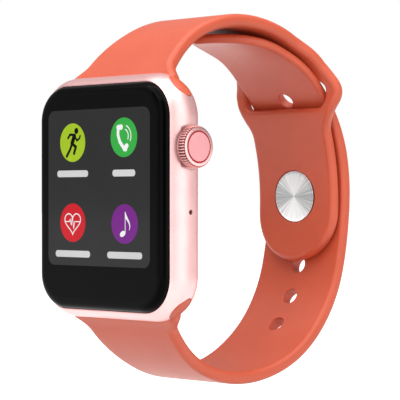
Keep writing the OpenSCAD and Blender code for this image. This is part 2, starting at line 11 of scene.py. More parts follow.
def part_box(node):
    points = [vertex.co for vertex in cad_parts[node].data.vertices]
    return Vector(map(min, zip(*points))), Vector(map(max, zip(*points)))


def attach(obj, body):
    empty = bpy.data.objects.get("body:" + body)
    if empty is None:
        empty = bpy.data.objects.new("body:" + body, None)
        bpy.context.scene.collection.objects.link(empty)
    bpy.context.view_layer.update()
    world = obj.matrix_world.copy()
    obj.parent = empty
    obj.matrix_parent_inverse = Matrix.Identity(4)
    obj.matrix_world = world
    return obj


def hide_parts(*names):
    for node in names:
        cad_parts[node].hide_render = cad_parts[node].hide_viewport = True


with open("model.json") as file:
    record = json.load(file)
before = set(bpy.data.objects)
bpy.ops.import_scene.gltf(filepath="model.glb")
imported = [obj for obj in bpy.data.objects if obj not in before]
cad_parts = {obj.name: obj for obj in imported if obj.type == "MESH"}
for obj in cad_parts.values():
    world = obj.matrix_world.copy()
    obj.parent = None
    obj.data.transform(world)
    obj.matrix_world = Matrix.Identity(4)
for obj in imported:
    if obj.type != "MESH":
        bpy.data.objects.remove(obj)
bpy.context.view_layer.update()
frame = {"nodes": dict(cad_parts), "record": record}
nodes = frame["nodes"]

# Sizes are in millimetres in case coordinates, whose depth y counts back from the case front.
MM = 0.001
WRIST_DEPTH = 30.0
GLASS_FRONT = -0.7

# The case's rounded side in section, and its corner centres seen from the front
SIDE_R = 4.8
SIDE_Y = 4.3
SIDE_IN = 3.2
CORNER_X = 10.5
CORNER_Z = 14.0

# Strap sizes, as in the CAD source
STRAP_T = 2.4
TAIL_T = 1.8
CASE_HALF = 11.8
WAIST_HALF = 9.6
BACK_HALF = 10.05
FLARE_HALF = 13.75
FLARE_Z = 20.5
TIP_Z = -12.6
ROUND_Z = -3.0
PIN_AT = 74.2
PIN_LEVEL = 75.7
HOLE_PITCH = 6.95
HOLE_R = 1.75
DISC_R = 5.1

# The tail's round end: where it begins, how far it goes on, its half width and its fullness
TAIL_Y = 38.0
TAIL_REACH = 14.9
TAIL_HALF = 8.8
TAIL_ROUND = 0.85

# The bar of each strap: the line between its round ends in section, and its sizes
LUG_LINE = ((4.5, 19.75), (5.35, 19.22))
LUG_R = 1.5
LUG_MOUTH = 1.4
LUG_REACH = 17.6
LUG_EDGE = 0.12

# The strap's two faces, by the side of its middle line they lie on
OUTER = 1
INNER = -1

# How far apart a strap's points are: round its outline and holes, and across and along its faces
OUTLINE_SPACING = 0.6
HOLE_SPACING = 0.35
FACE_SPACING = (2.2, 0.8)
FACE_CLEAR = 0.45


def place(points):
    """Points in case millimetres as points in the row frame, in metres."""
    p = np.asarray(points, float).reshape(-1, 3)
    return (p - [0, WRIST_DEPTH, 0]) * MM


# ---- materials ----


def dim(colour, share):
    """The colour made darker or lighter."""
    return tuple(c * share for c in colour)


class Shader:
    """A Principled material with a short way to add nodes."""

    def __init__(self, name, **values):
        self.mat = bpy.data.materials.new(name)
        self.mat.use_nodes = True
        self.tree = self.mat.node_tree
        self.bsdf = self.tree.nodes["Principled BSDF"]
        for key, value in values.items():
            self.bsdf.inputs[key.replace("_", " ")].default_value = value

    def node(self, kind, inputs=None, **settings):
        n = self.tree.nodes.new(kind)
        for key, value in settings.items():
            setattr(n, key, value)
        for key, value in (inputs or {}).items():
            self.put(n.inputs[key], value)
        return n

    def put(self, socket, value):
        if isinstance(value, bpy.types.NodeSocket):
            self.tree.links.new(value, socket)
        else:
            socket.default_value = value

    def set(self, key, value):
        self.put(self.bsdf.inputs[key], value)

    def where(self):
        return self.node("ShaderNodeTexCoord").outputs["Object"]

    def axes(self):
        """X, Y and Z of the shaded point, in metres."""
        return self.node("ShaderNodeSeparateXYZ", {"Vector": self.where()}).outputs

    def calc(self, operation, *numbers):
        """A sum, product or other function of one or two numbers."""
        return self.node("ShaderNodeMath", dict(enumerate(numbers)), operation=operation).outputs[0]

    def noise(self, scale, detail=3.0, rough=0.55, vector=None):
        inputs = {"Scale": scale, "Detail": detail, "Roughness": rough, "Vector": vector or self.where()}
        return self.node("ShaderNodeTexNoise", inputs).outputs["Fac"]

    def ramp(self, fac, stops):
        """The colour that fac picks from (place, colour) stops."""
        n = self.node("ShaderNodeValToRGB", {"Fac": fac})
        while len(n.color_ramp.elements) < len(stops):
            n.color_ramp.elements.new(0.5)
        for element, (at, colour) in zip(n.color_ramp.elements, stops):
            element.position = at
            element.color = (*colour, 1)
        return n.outputs["Color"]

    def between(self, fac, low, high, start=0.0, end=1.0):
        """A number that goes from low to high as fac goes from start to end."""
        inputs = {"Value": fac, "From Min": start, "From Max": end, "To Min": low, "To Max": high}
        return self.node("ShaderNodeMapRange", inputs).outputs["Result"]

    def bump(self, height, depth, strength, normal=None):
        inputs = {"Height": height, "Distance": depth, "Strength": strength}
        n = self.node("ShaderNodeBump", inputs)
        if normal is not None:
            self.put(n.inputs["Normal"], normal)
        return n.outputs["Normal"]


def silicone():
    """Coral silicone: a little light passes under its surface, and its skin is finely matt."""
    s = Shader("coral_silicone", Roughness=0.4, IOR=1.45, Subsurface_Weight=0.1,
               Subsurface_Radius=(1.0, 0.35, 0.2), Subsurface_Scale=0.0006)
    low, high = (0.545, 0.086, 0.037), (0.585, 0.097, 0.043)
    s.set("Base Color", s.ramp(s.noise(140, 4, 0.6), [(0.3, low), (0.7, high)]))
    s.set("Roughness", s.between(s.noise(900, 3), 0.36, 0.44))
    grain = s.bump(s.noise(5200, 2, 0.6), 0.000012, 0.35)
    s.set("Normal", s.bump(s.noise(420, 3), 0.00004, 0.2, grain))
    return s.mat


def anodised(name, low, high, grain):
    """Bead-blasted and anodised aluminium, clouded between two colours."""
    s = Shader(name, Metallic=0.88, Coat_Weight=0.15, Coat_Roughness=0.3)
    s.set("Base Color", s.ramp(s.noise(260, 4, 0.6), [(0.3, low), (0.7, high)]))
    s.set("Roughness", s.between(s.noise(2600, 3), 0.36, 0.45))
    s.set("Normal", s.bump(s.noise(9000, 2, 0.6), 0.000006, grain))
    return s.mat


def metal(name, colour, rough, scale=2500, depth=0.000004):
    """Bare metal with a fine grain."""
    s = Shader(name, Metallic=1.0)
    s.set("Base Color", s.ramp(s.noise(scale / 5, 4), [(0.3, dim(colour, 0.92)), (0.7, colour)]))
    s.set("Roughness", s.between(s.noise(scale), rough * 0.8, rough * 1.25))
    s.set("Normal", s.bump(s.noise(scale * 2), depth, 0.5))
    return s.mat


def plain(name, colour, rough, scale=1800, depth=0.000006, **more):
    """Plastic, rubber, ceramic or film with a fine grain."""
    s = Shader(name, **more)
    s.set("Base Color", s.ramp(s.noise(scale / 4, 3), [(0.3, dim(colour, 0.88)), (0.7, colour)]))
    s.set("Roughness", s.between(s.noise(scale), rough * 0.88, rough * 1.12))
    s.set("Normal", s.bump(s.noise(scale * 2.5), depth, 0.4))
    return s.mat


def cover():
    """Black cover glass: dark grey on its flat front, with painted shade that makes it near black where its
    edge curves back and a painted reflection that makes its hem a little lighter.
    """
    s = Shader("black_glass", IOR=1.15, Specular_IOR_Level=0.25)
    start, end = (GLASS_FRONT - WRIST_DEPTH) * MM, (0.5 - WRIST_DEPTH) * MM
    # Painted shade and painted reflection, by depth: from the front's dark grey to near black round the
    # curved edge, then a little lighter at the hem.
    back = s.between(s.axes()["Y"], 0.0, 1.0, start, end)
    share = s.calc("ADD", back, s.calc("MULTIPLY", s.noise(300, 3), 0.08))
    front, edge_painted_shade, hem_painted_reflection = (0.0052, 0.0050, 0.0051), (0.0003, 0.0003, 0.0003), (0.003, 0.003, 0.003)
    s.set("Base Color", s.ramp(share, [(0.05, front), (0.3, edge_painted_shade), (0.85, edge_painted_shade), (1.0, hem_painted_reflection)]))
    s.set("Roughness", s.between(s.noise(400, 3), 0.08, 0.16))
    return s.mat


def lens():
    """Dark polished glass over the sensor."""
    s = Shader("lens_glass", IOR=1.5, Specular_IOR_Level=0.5)
    colour = (0.006, 0.006, 0.008)
    s.set("Base Color", s.ramp(s.noise(60, 2), [(0.3, colour), (0.7, dim(colour, 1.15))]))
    s.set("Roughness", s.between(s.noise(400, 3), 0.0245, 0.0455))
    return s.mat


def screen(name, colour, glow):
    """A lit part of the display, seen under the glass's gloss."""
    s = Shader(name, Roughness=0.09, IOR=1.5, Specular_IOR_Level=0.12, Emission_Strength=glow)
    dark = dim(colour, 0.94)
    s.set("Base Color", s.ramp(s.noise(180, 2), [(0.35, dim(dark, 0.4)), (0.65, dim(colour, 0.4))]))
    s.set("Emission Color", s.ramp(s.noise(180, 2), [(0.35, dark), (0.65, colour)]))
    return s.mat


def brushed_disc():
    """Circular brushing: fine rings that catch the light in two cones, with faint radial streaks; the two
    cones are also a painted highlight in the colour, lighter along the strap and darker across it.
    """
    s = Shader("brushed_clasp", Metallic=1.0, Anisotropic=0.92)
    axes = s.axes()
    angle = s.calc("ARCTAN2", axes["Y"], axes["X"])
    streak = s.noise(9, 5, 0.7, s.node("ShaderNodeCombineXYZ", {"X": angle}).outputs[0])
    # Painted highlight: two lighter cones along the strap and darker sides across it, painted into the
    # colour over the real anisotropic sheen.
    painted_cones = s.calc("COSINE", s.calc("MULTIPLY", angle, 2.0))
    share = s.calc("ADD", s.calc("MULTIPLY", painted_cones, -0.16), streak)
    dark, middle, light = (0.30, 0.30, 0.30), (0.62, 0.62, 0.62), (0.97, 0.97, 0.97)
    s.set("Base Color", s.ramp(share, [(0.28, dark), (0.45, middle), (0.62, light)]))
    s.set("Tangent", s.node("ShaderNodeTangent", direction_type="RADIAL", axis="Z").outputs[0])
    s.set("Roughness", s.between(streak, 0.24, 0.36))
    return s.mat


def crown_metal():
    """Anodised crown, with painted shade down in the grooves of its grip and a painted shadow towards its
    base.
    """
    s = Shader("rose_crown", Metallic=0.9)
    low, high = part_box("crown_knob")
    middle = (low + high) / 2
    outer = (high.z - low.z) / 2
    axes = s.axes()
    aside = s.calc("SUBTRACT", axes["Y"], middle.y)
    above = s.calc("SUBTRACT", axes["Z"], middle.z)
    squares = s.calc("ADD", s.calc("MULTIPLY", aside, aside), s.calc("MULTIPLY", above, above))
    radius = s.calc("POWER", squares, 0.5)
    # Painted shade in the grip's grooves: the colour falls to near black away from the crests, except near
    # the front rim.
    crest = s.between(radius, 0.0, 1.0, outer - 0.28 * MM, outer)
    rim = s.between(axes["X"], 0.0, 1.0, high.x - 0.16 * MM, high.x - 0.04 * MM)
    # Painted shadow: the knob's colour darkens towards its base at the case.
    base = s.between(axes["X"], 0.25, 1.0, low.x, low.x + 1.1 * MM)
    shade = s.calc("MULTIPLY", s.calc("MAXIMUM", crest, rim), base)
    share = s.calc("ADD", shade, s.calc("MULTIPLY", s.noise(2600, 3), 0.1))
    groove_painted_shade, flank, top = (0.09, 0.018, 0.016), (0.50, 0.20, 0.19), (0.90, 0.52, 0.51)
    s.set("Base Color", s.ramp(share, [(0.0, groove_painted_shade), (0.55, flank), (1.0, top)]))
    s.set("Roughness", s.between(s.noise(2600, 3), 0.2, 0.3))
    s.set("Normal", s.bump(s.noise(9000, 2, 0.6), 0.000006, 0.2))
    return s.mat


rubber = silicone()
steel = metal("turned_steel", (0.72, 0.72, 0.73), 0.28)
SLOT_LOOKS = {
    "case_metal": anodised("rose_aluminium", (0.86, 0.50, 0.49), (0.92, 0.56, 0.545), 0.3),
    "crown_face": anodised("rose_crown_face", (0.86, 0.38, 0.39), (0.90, 0.42, 0.43), 0.25),
    "crown_accent": plain("crown_red", (0.36, 0.001, 0.006), 0.3, 2000, 0.000003),
    "screen_glass": cover(),
    "sensor_glass": lens(),
    "display": plain("display_panel_grey", (0.04, 0.04, 0.042), 0.3),
    "gasket": plain("black_rubber", (0.012, 0.012, 0.012), 0.6),
    "inner_metal": metal("inner_aluminium", (0.75, 0.75, 0.77), 0.35),
    "battery_foil": metal("battery_foil", (0.34, 0.35, 0.37), 0.4, 900, 0.00002),
    "circuit_board": plain("solder_mask", (0.01, 0.10, 0.045), 0.35, 1200, 0.00001),
    "shield": metal("tinned_shield", (0.70, 0.70, 0.71), 0.3),
    "chip": plain("chip_resin", (0.014, 0.014, 0.016), 0.55),
    "antenna": metal("antenna_brass", (0.80, 0.58, 0.28), 0.32),
    "flex": plain("amber_film", (0.42, 0.16, 0.02), 0.3, 900),
    "mesh": plain("woven_mesh", (0.003, 0.003, 0.003), 0.7, 6000, 0.00002, Specular_IOR_Level=0.1),
    "gold": metal("gold_plate", (0.95, 0.68, 0.30), 0.22),
    "steel": steel,
    "clasp_metal": steel,
    "tungsten": metal("sintered_tungsten", (0.38, 0.36, 0.34), 0.45, 1500, 0.00001),
    "back_plate": plain("back_ceramic", (0.012, 0.012, 0.014), 0.22, 1500, 0.000004, Coat_Weight=0.3),
    "led": plain("led_resin", (0.35, 0.62, 0.20), 0.15, 1500, 0.000002),
    "photodiode": plain("photodiode", (0.02, 0.022, 0.035), 0.12, 1500, 0.000002),
    "magnet": metal("nickel", (0.66, 0.64, 0.60), 0.2),
    "silicone": rubber,
}
for entry in frame["record"]["subparts"]:
    node = nodes[entry["node"]]
    node.data.materials.clear()
    node.data.materials.append(SLOT_LOOKS[entry["material_slot"]])


# ---- meshes ----


def make(name, verts, faces, material, body, normals=None, stands_for=()):
    """A new piece from points in metres, riding on a body."""
    mesh = bpy.data.meshes.new(name)
    mesh.from_pydata([tuple(v) for v in verts], [], [tuple(int(i) for i in f) for f in faces])
    mesh.polygons.foreach_set("use_smooth", [True] * len(mesh.polygons))
    if normals is not None:
        mesh.normals_split_custom_set_from_vertices([tuple(n) for n in normals])
    mesh.materials.append(material)
    mesh.validate()
    piece = bpy.data.objects.new(name, mesh)
    bpy.context.scene.collection.objects.link(piece)
    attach(piece, body)
    if stands_for:
        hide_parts(*stands_for)
    return piece


def ease(start, end, s):
    """A smooth step from 0 at start to 1 at end."""
    k = np.clip((np.asarray(s, float) - start) / (end - start), 0, 1)
    return k * k * (3 - 2 * k)


def unit(vectors):
    return vectors / np.maximum(np.linalg.norm(vectors, axis=1), 1e-9)[:, None]


def signed_area(loop):
    """Twice the area in a closed loop, below zero if the loop runs clockwise."""
    x, y = loop.T
    return np.sum(x * np.roll(y, -1) - np.roll(x, -1) * y)


def facing(corners, triangle, up):
    """The triangle's numbers in the order that makes it face up, or down."""
    a, b, c = corners
    turn = (b[0] - a[0]) * (c[1] - a[1]) - (b[1] - a[1]) * (c[0] - a[0])
    return triangle if (turn > 0) == up else triangle[::-1]


def resample(points, step):
    """Even points along a closed loop."""
    p = np.asarray(points, float)
    closed = np.vstack([p, p[:1]])
    run = np.concatenate([[0], np.cumsum(np.linalg.norm(np.diff(closed, axis=0), axis=1))])
    count = max(16, round(run[-1] / step))
    t = np.arange(count) * run[-1] / count
    return np.c_[np.interp(t, run, closed[:, 0]), np.interp(t, run, closed[:, 1])]


def outward(loop, hole):
    """Unit directions that point out of the material round a loop."""
    t = unit(np.roll(loop, -1, 0) - np.roll(loop, 1, 0))
    n = np.c_[t[:, 1], -t[:, 0]] * np.sign(signed_area(loop))
    return -n if hole else n


def inside(points, loops):
    """Which points lie in the area between the loops, by counting crossings."""
    hits = np.zeros(len(points), int)
    for loop in loops:
        for (x0, y0), (x1, y1) in zip(loop, np.roll(loop, -1, 0)):
            if y0 == y1:
                continue
            cross = (points[:, 1] > min(y0, y1)) & (points[:, 1] <= max(y0, y1))
            x = x0 + (points[:, 1] - y0) * (x1 - x0) / (y1 - y0)
            hits += cross & (points[:, 0] < x)
    return hits % 2 == 1


def fill(loops, spacing, clear):
    """Triangles between closed loops, with a grid of points inside that stays clear of the loops.

    Returns the points, the triangles, and for each point the numbers of the points it came from."""
    rim = np.vstack(loops)
    low, high = rim.min(0), rim.max(0)
    gx, gy = np.meshgrid(np.arange(low[0], high[0], spacing[0]), np.arange(low[1], high[1], spacing[1]))
    grid = np.c_[gx.ravel(), gy.ravel()]
    grid = grid[inside(grid, loops)]
    gap = np.array([np.min(np.hypot(*(rim - g).T)) for g in grid])
    points = np.vstack([rim, grid[gap > clear]])
    edges, first = [], 0
    for loop in loops:
        edges += [(first + i, first + (i + 1) % len(loop)) for i in range(len(loop))]
        first += len(loop)
    flat = [Vector(p) for p in points]
    corners, _, tris, source, _, _ = geometry.delaunay_2d_cdt(flat, edges, [], 0, 1e-7, True)
    made = np.array([tuple(v) for v in corners])
    tris = np.array(tris)
    return made, tris[inside(made[tris].mean(1), loops)], source


def match(source, known):
    """For filled points: their known numbers where they came from the rim, and which are new."""
    index = np.zeros(len(source), int)
    new = []
    for i, origins in enumerate(source):
        on_rim = [origin for origin in origins if origin < len(known)]
        if on_rim:
            index[i] = known[on_rim[0]]
        else:
            new.append(i)
    return index, new


def mirrored(side):
    """A closed outline from its right-hand side, (half width, distance along) from start to tip."""
    right = np.asarray(side, float)
    return np.vstack([right, right[::-1] * [-1, 1]])


def rounded_box(half, low, high, r, count=10):
    """A rounded rectangle as a loop."""
    x, top, bottom = half - r, high - r, low + r
    loop = []
    for cx, cy, start in ((x, top, 0), (-x, top, 90), (-x, bottom, 180), (x, bottom, 270)):
        for a in np.radians(start + np.linspace(0, 90, count)):
            loop.append((cx + r * math.cos(a), cy + r * math.sin(a)))
    return np.array(loop)


def circle(centre, r, count=48):
    a = np.linspace(0, 2 * math.pi, count, endpoint=False)
    return np.c_[centre[0] + r * np.cos(a), centre[1] + r * np.sin(a)]


# ---- strap bands ----


class Course:
    """A strap's middle line in the YZ plane, from (length, turn in degrees) stretches."""

    STEP = 0.05

    def __init__(self, start, heading, runs):
        ends = np.cumsum([0] + [run[0] for run in runs])
        turns = np.cumsum([0] + [run[1] for run in runs])
        self.s = np.arange(-3, ends[-1] + 6, self.STEP)
        self.h = np.radians(heading + np.interp(self.s, ends, turns))
        middle = np.radians(heading + np.interp(self.s + self.STEP / 2, ends, turns))
        self.y = np.concatenate([[0], np.cumsum(np.cos(middle[:-1]) * self.STEP)])
        self.z = np.concatenate([[0], np.cumsum(np.sin(middle[:-1]) * self.STEP)])
        self.y += start[0] - np.interp(0, self.s, self.y)
        self.z += start[1] - np.interp(0, self.s, self.z)

    def at(self, s):
        """Depth, height and heading at a distance along."""
        return np.interp(s, self.s, self.y), np.interp(s, self.s, self.z), np.interp(s, self.s, self.h)

    def find(self, values, value, low, high):
        part = (self.s >= low) & (self.s <= high)
        order = np.argsort(values[part])
        return float(np.interp(value, values[part][order], self.s[part][order]))

    def where_y(self, y, low, high):
        """The distance between low and high at which the course has that depth."""
        return self.find(self.y, y, low, high)

    def where_z(self, z, low, high):
        """The distance between low and high at which the course has that height."""
        return self.find(self.z, z, low, high)


class Sheet:
    """A strap laid out flat: points across and along, with heights and normals, and the faces."""

    def __init__(self):
        self.flat = []
        self.height = []
        self.lean = []
        self.faces = []
        self.count = 0

    def add(self, points, height, normal):
        """Take in points, and return their numbers."""
        self.flat.append(points)
        self.height.append(height)
        self.lean.append(normal)
        self.count += len(points)
        return np.arange(self.count - len(points), self.count)

    def strip(self, a, b, flip):
        """Faces between two rings of points."""
        for i in range(len(a)):
            j = (i + 1) % len(a)
            self.faces.append((a[i], b[i], b[j], a[j]) if flip else (a[i], a[j], b[j], b[i]))


def slope(thick, s):
    """How fast a thickness grows along the strap."""
    return (thick(s + 0.05) - thick(s - 0.05)) / 0.1


def rounded_edge(sheet, loop, out, radius, thick, side):
    """Rings from a loop's wall round its edge: (the wall's numbers, the rim's numbers, its points)."""
    steps = 6
    rings = []
    for k in range(steps + 1):
        phi = math.pi / 2 * k / steps
        p = loop - out * radius * (1 - math.cos(phi))
        normal = np.c_[out * math.cos(phi), np.full(len(p), side * math.sin(phi))]
        normal[:, 1] -= slope(thick, p[:, 1]) * math.sin(phi)
        rings.append(sheet.add(p, side * (thick(p[:, 1]) - radius + radius * math.sin(phi)), normal))
    for a, b in zip(rings, rings[1:]):
        sheet.strip(a, b, side < 0)
    return rings[0], rings[-1], p


def round_pocket(sheet, along, radius, depth, thick):
    """A round recess in the inner face: (the numbers of its lip, the lip's points)."""
    count = 96
    lip = 0.12
    turn = np.linspace(0, 2 * math.pi, count, endpoint=False)
    rim = np.c_[radius * np.cos(turn), along + radius * np.sin(turn)][::-1]
    out = outward(rim, True)
    level = np.c_[np.zeros((count, 2)), np.full(count, INNER)]
    wall = np.c_[out, np.zeros(count)]
    surface = thick(rim[:, 1])
    top = sheet.add(rim - out * lip, INNER * surface, level)
    shoulder = sheet.add(rim, INNER * (surface - lip), wall)
    foot = sheet.add(rim, INNER * (surface - depth), wall)
    sheet.strip(shoulder, top, True)
    sheet.strip(foot, shoulder, True)
    bed = sheet.add(rim, INNER * (surface - depth), level)
    middle = np.array([[0, along]])
    centre = sheet.add(middle, INNER * (thick(middle[:, 1]) - depth), np.array([[0, 0, INNER]]))[0]
    for i in range(count):
        sheet.faces.append((bed[i], bed[(i + 1) % count], centre))
    return top, rim - out * lip


def band(name, body, course, loops, thickness, pocket=None):
    """A strap: a sheet with rounded edges, bent along its course.

    loops are (points across and along, is a hole, edge radius). thickness gives for each side
    the distance from the middle line to the face, as a function of the distance along.
    pocket is a round recess on the inner side: (distance along, radius, depth)."""
    sheet = Sheet()
    prepared = []
    for points, hole, radius in loops:
        loop = resample(points, HOLE_SPACING if hole else OUTLINE_SPACING)
        if hole != (signed_area(loop) < 0):
            loop = loop[::-1]
        prepared.append((loop, outward(loop, hole), radius))
    walls = {OUTER: [], INNER: []}
    for side in (OUTER, INNER):
        thick = thickness[side]
        numbers, rims = [], []
        for loop, out, radius in prepared:
            wall, rim, points = rounded_edge(sheet, loop, out, radius, thick, side)
            walls[side].append(wall)
            numbers.append(rim)
            rims.append(points)
        if pocket and side == INNER:
            rim, points = round_pocket(sheet, *pocket, thick)
            numbers.append(rim)
            rims.append(points)
        made, tris, source = fill(rims, FACE_SPACING, FACE_CLEAR)
        index, new = match(source, np.concatenate(numbers))
        p = made[new]
        normal = np.c_[np.zeros(len(p)), -slope(thick, p[:, 1]), np.full(len(p), side)]
        index[new] = sheet.add(p, side * thick(p[:, 1]), normal)
        for t in tris:
            sheet.faces.append(facing(made[t], index[t], side == OUTER))
    for inner_wall, outer_wall in zip(walls[INNER], walls[OUTER]):
        sheet.strip(inner_wall, outer_wall, False)
    flat, height, lean = np.vstack(sheet.flat), np.concatenate(sheet.height), np.vstack(sheet.lean)
    y, z, head = course.at(flat[:, 1])
    up = np.c_[np.zeros(len(head)), -np.sin(head), np.cos(head)]
    ahead = np.c_[np.zeros(len(head)), np.cos(head), np.sin(head)]
    verts = np.c_[flat[:, 0], y, z] + up * height[:, None]
    across = np.c_[lean[:, 0], np.zeros((len(lean), 2))]
    normals = unit(across + ahead * lean[:, 1:2] + up * lean[:, 2:3])
    make(name, place(verts), sheet.faces, rubber, body, normals, (body,))


UPPER_RUNS = [(26, -56), (18, -37), (7.5, -26), (3.5, -43), (4, 35), (12, -16), (17, -20)]
LOWER_RUNS = [(20, 47), (28, 61), (14, 30), (14, 13), (12, 20),
              (9, 21), (5.5, 10), (9.5, 22), (8.5, 16), (6.5, 12)]
upper = Course((5.2, 20.5), 58, UPPER_RUNS)
lower = Course((5.8, -20.6), -62, LOWER_RUNS)

# A band starts inside the case groove, and flares and thickens beside the case to meet the lug
BAND_START = -1.2
BAND_STEP = 0.25
LUG_FLARE = 2.4
UPPER_HEEL = 0.45
LOWER_HEEL = 0.35

# How round the edges are
UPPER_EDGE = 1.02
LOWER_EDGE = 0.86
SLOT_EDGE = 0.9
HOLE_EDGE = 0.22

# The slot that the tail goes through, and the recess that the clasp disc lies in
SLOT = (50.8, 56.6)
SLOT_HALF = 10.6
SLOT_R = 1.9
POCKET_R = DISC_R + 0.2
POCKET_DEPTH = 0.75


def case_half(y):
    """Half width of either strap by depth: wide at the case, then a waist."""
    return CASE_HALF - (CASE_HALF - WAIST_HALF) * ease(3, 17, y)


def lug_flare(s):
    """How much wider a strap is on each side beside the case."""
    return LUG_FLARE * (1 - ease(0.3, 4.2, s))


def upper_half(s):
    """Half width of the upper strap, up to where its round end begins."""
    y, z, _ = upper.at(s)
    top = case_half(y) + 0.45 * ease(29, 40, y) + 1.7 * ease(40, 47, y)
    flare = FLARE_HALF - 1.9 * ease(FLARE_Z, 26, z)
    waist = BACK_HALF + (FLARE_HALF - BACK_HALF) * ease(12.2, FLARE_Z, z)
    back = np.where(z > FLARE_Z, flare, waist)
    return np.where((y < 46.7) & (s < 50), top, back) + lug_flare(s)


def tail_half(y):
    """Half width of the lower strap's tail, with its round end."""
    past = (TAIL_Y - np.minimum(TAIL_Y, y)) / TAIL_REACH
    return (TAIL_HALF + 1.4 * ease(37, 47, y)) * np.clip(1 - past ** 2, 0, 1) ** TAIL_ROUND


def lower_half(s):
    """Half width of the lower strap, up to where the tail's round end begins."""
    y, z, _ = lower.at(s)
    bottom = case_half(y) + 0.75 * ease(29, 44, y)
    back = 10.35 - 0.15 * ease(8, 19.3, z)
    return np.where(s < 60, bottom, np.where(z < 19.3, back, tail_half(y))) + lug_flare(s)


def even_half(s):
    """Half thickness of the upper strap."""
    return np.full(np.shape(s), STRAP_T / 2)


def tapering_half(s):
    """Half thickness of the lower strap, thinner in its tail."""
    return (STRAP_T + (TAIL_T - STRAP_T) * ease(84, 95, s)) / 2


def heeled(half, heel):
    """The same half thickness with a heel at the case."""
    return lambda s: half(s) + heel * (1 - ease(0.2, 2.8, s))


def upper_strap():
    """The band with the slot and the round end that carries the clasp pin."""
    round_from = upper.where_z(ROUND_Z, 62, 95)
    s = np.arange(BAND_START, round_from, BAND_STEP)
    tip = []
    for a in np.radians(np.linspace(0, 90, 40))[:-1]:
        z = ROUND_Z + (TIP_Z - ROUND_Z) * math.sin(a)
        tip.append((BACK_HALF * math.cos(a), upper.where_z(z, 62, 95)))
    outline = mirrored(np.vstack([np.c_[upper_half(s), s], tip]))
    slot = rounded_box(SLOT_HALF, *SLOT, SLOT_R)
    band("upper_strap_band", "upper_strap", upper,
         [(outline, False, UPPER_EDGE), (slot, True, SLOT_EDGE)],
         {OUTER: even_half, INNER: heeled(even_half, UPPER_HEEL)},
         (PIN_AT, POCKET_R, POCKET_DEPTH))


def lower_strap():
    """The band with the adjustment holes and the tail that is tucked through the slot."""
    round_from = lower.where_y(TAIL_Y, 96, 130)
    s = np.arange(BAND_START, round_from, BAND_STEP)
    tip = []
    for a in np.radians(np.linspace(2, 90, 60))[:-1]:
        y = TAIL_Y - TAIL_REACH * math.sin(a)
        tip.append((TAIL_HALF * math.cos(a) ** (2 * TAIL_ROUND), lower.where_y(y, 96, 140)))
    outline = mirrored(np.vstack([np.c_[lower_half(s), s], tip]))
    loops = [(outline, False, LOWER_EDGE)]
    for i in range(-4, 4):
        loops.append((circle((0, PIN_LEVEL + i * HOLE_PITCH), HOLE_R - 0.1), True, HOLE_EDGE))
    band("lower_strap_band", "lower_strap", lower, loops,
         {OUTER: tapering_half, INNER: heeled(tapering_half, LOWER_HEEL)})


upper_strap()
lower_strap()


# ---- strap lugs ----


def lug_section():
    """The strap bar's section: a round-ended bar with a tongue that reaches the case's surface."""
    a, b = np.array(LUG_LINE)
    reach = np.linalg.norm(b - a) / 2
    u = (b - a) / (2 * reach)
    v = np.array([-u[1], u[0]])
    mid = (a + b) / 2
    centre = np.array([SIDE_Y, CORNER_Z + SIDE_IN])

    def surface(across):
        """How far the case's surface is from the bar's middle line."""
        base = mid + across * u - centre
        along = base @ v
        return -along + math.sqrt(along * along - base @ base + (SIDE_R - 0.02) ** 2)

    def round_end(x, t):
        return mid + (x + LUG_R * math.cos(t)) * u + LUG_R * math.sin(t) * v

    over = LUG_MOUTH - reach
    start = math.atan2(math.sqrt(LUG_R ** 2 - over ** 2), over)
    section = [mid + x * u + surface(x) * v for x in np.linspace(-LUG_MOUTH, LUG_MOUTH, 13)]
    section += [round_end(reach, t) for t in np.linspace(start, -math.pi / 2, 14)]
    section += [round_end(-reach, t) for t in np.linspace(-math.pi / 2, -math.pi - start, 14)]
    return np.array(section)


def lug_end(p):
    """How far sideways the bar goes at points of its section, inside the case's corner."""
    radius = SIDE_IN + np.sqrt(np.maximum(SIDE_R ** 2 - (p[:, 0] - SIDE_Y) ** 2, 0))
    corner = CORNER_X + np.sqrt(np.maximum(radius ** 2 - (p[:, 1] - CORNER_Z) ** 2, 0))
    return np.minimum(corner - 0.04, LUG_REACH)


def case_normal(x, p, side):
    """Normal of the case's rounded corner at points of the bar's end."""
    across, up = np.maximum(np.abs(x) - CORNER_X, 1e-6), p[:, 1] - CORNER_Z
    far = np.hypot(across, up)
    share = (far - SIDE_IN) / SIDE_R
    return np.c_[side * across / far * share, (p[:, 0] - SIDE_Y) / SIDE_R, up / far * share]


